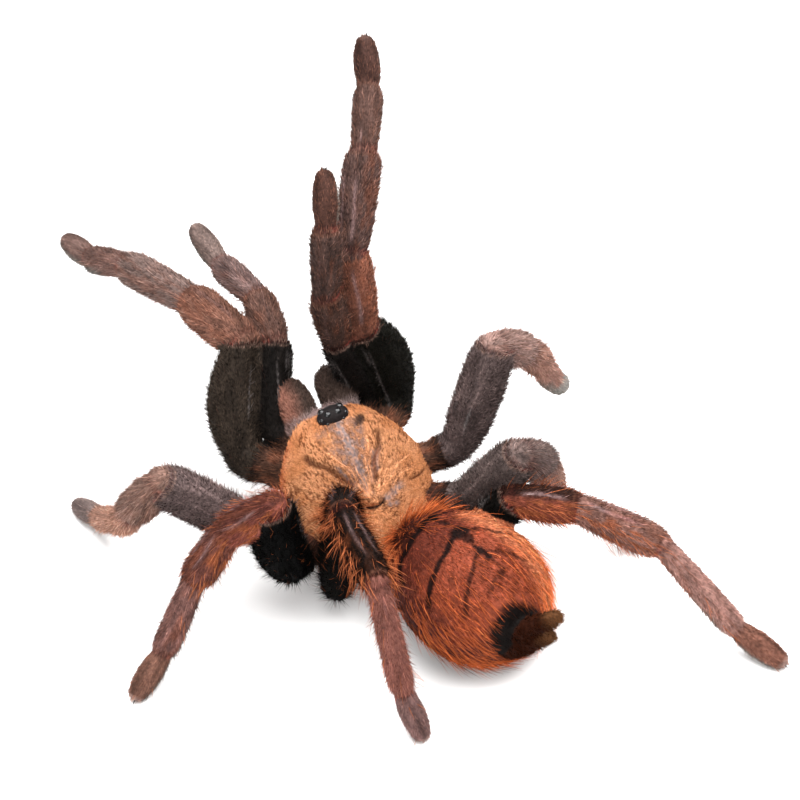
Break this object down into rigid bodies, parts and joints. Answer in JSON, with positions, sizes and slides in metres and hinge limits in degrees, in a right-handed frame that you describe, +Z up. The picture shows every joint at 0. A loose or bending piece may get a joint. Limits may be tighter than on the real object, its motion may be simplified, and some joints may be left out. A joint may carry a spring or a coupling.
{
  "type": "tarantula",
  "caption": "Life-size tarantula model, rearing with front legs and palps raised, velvety dark femora, golden carapace and striped hairy abdomen.",
  "frame": {"origin": "on the floor, under the centre of the whole model's bounding box", "axes": "+Z up, -Y the way the tarantula faces, +X to its left"},
  "size_m": [0.0774, 0.1018, 0.0569],
  "materials": {
    "carapace": "short golden-orange hair lying flat",
    "eyes": "gloss black",
    "underside": "dark brown velvet",
    "fang": "polished near-black horn",
    "dark_velvet": "black velvet hair",
    "limb_hair": "brown hair with reddish bristles",
    "rear_limb_hair": "red-brown hair with long orange bristles",
    "foot": "grey-brown scopula velvet",
    "abdomen": "orange-red hair with black stripes",
    "spinneret": "dark olive-brown hair"
  },
  "bodies": {
    "root": {"abdomen": "abdomen", "carapace": "carapace", "chelicera_left": "dark_velvet", "chelicera_right": "dark_velvet", "coxae_left": "limb_hair", "coxae_right": "limb_hair", "eye_turret": "eyes", "fang_left": "fang", "fang_right": "fang", "leg1_femur_left": "dark_velvet", "leg1_femur_right": "dark_velvet", "leg1_metatarsus_left": "limb_hair", "leg1_metatarsus_right": "limb_hair", "leg1_patella_left": "limb_hair", "leg1_patella_right": "limb_hair", "leg1_tarsus_left": "foot", "leg1_tarsus_right": "foot", "leg1_tibia_left": "limb_hair", "leg1_tibia_right": "limb_hair", "leg2_femur_left": "dark_velvet", "leg2_femur_right": "dark_velvet", "leg2_metatarsus_left": "limb_hair", "leg2_metatarsus_right": "limb_hair", "leg2_patella_left": "limb_hair", "leg2_patella_right": "limb_hair", "leg2_tarsus_left": "foot", "leg2_tarsus_right": "foot", "leg2_tibia_left": "limb_hair", "leg2_tibia_right": "limb_hair", "leg3_femur_left": "dark_velvet", "leg3_femur_right": "dark_velvet", "leg3_metatarsus_left": "rear_limb_hair", "leg3_metatarsus_right": "rear_limb_hair", "leg3_patella_left": "rear_limb_hair", "leg3_patella_right": "rear_limb_hair", "leg3_tarsus_left": "foot", "leg3_tarsus_right": "foot", "leg3_tibia_left": "rear_limb_hair", "leg3_tibia_right": "rear_limb_hair", "leg4_femur_left": "dark_velvet", "leg4_femur_right": "dark_velvet", "leg4_metatarsus_left": "rear_limb_hair", "leg4_metatarsus_right": "rear_limb_hair", "leg4_patella_left": "rear_limb_hair", "leg4_patella_right": "rear_limb_hair", "leg4_tarsus_left": "foot", "leg4_tarsus_right": "foot", "leg4_tibia_left": "rear_limb_hair", "leg4_tibia_right": "rear_limb_hair", "palp_femur_left": "dark_velvet", "palp_femur_right": "dark_velvet", "palp_patella_left": "limb_hair", "palp_patella_right": "limb_hair", "palp_tarsus_left": "foot", "palp_tarsus_right": "foot", "palp_tibia_left": "limb_hair", "palp_tibia_right": "limb_hair", "spinneret_left": "spinneret", "spinneret_right": "spinneret", "sternum": "underside"}
  },
  "joints": []
}
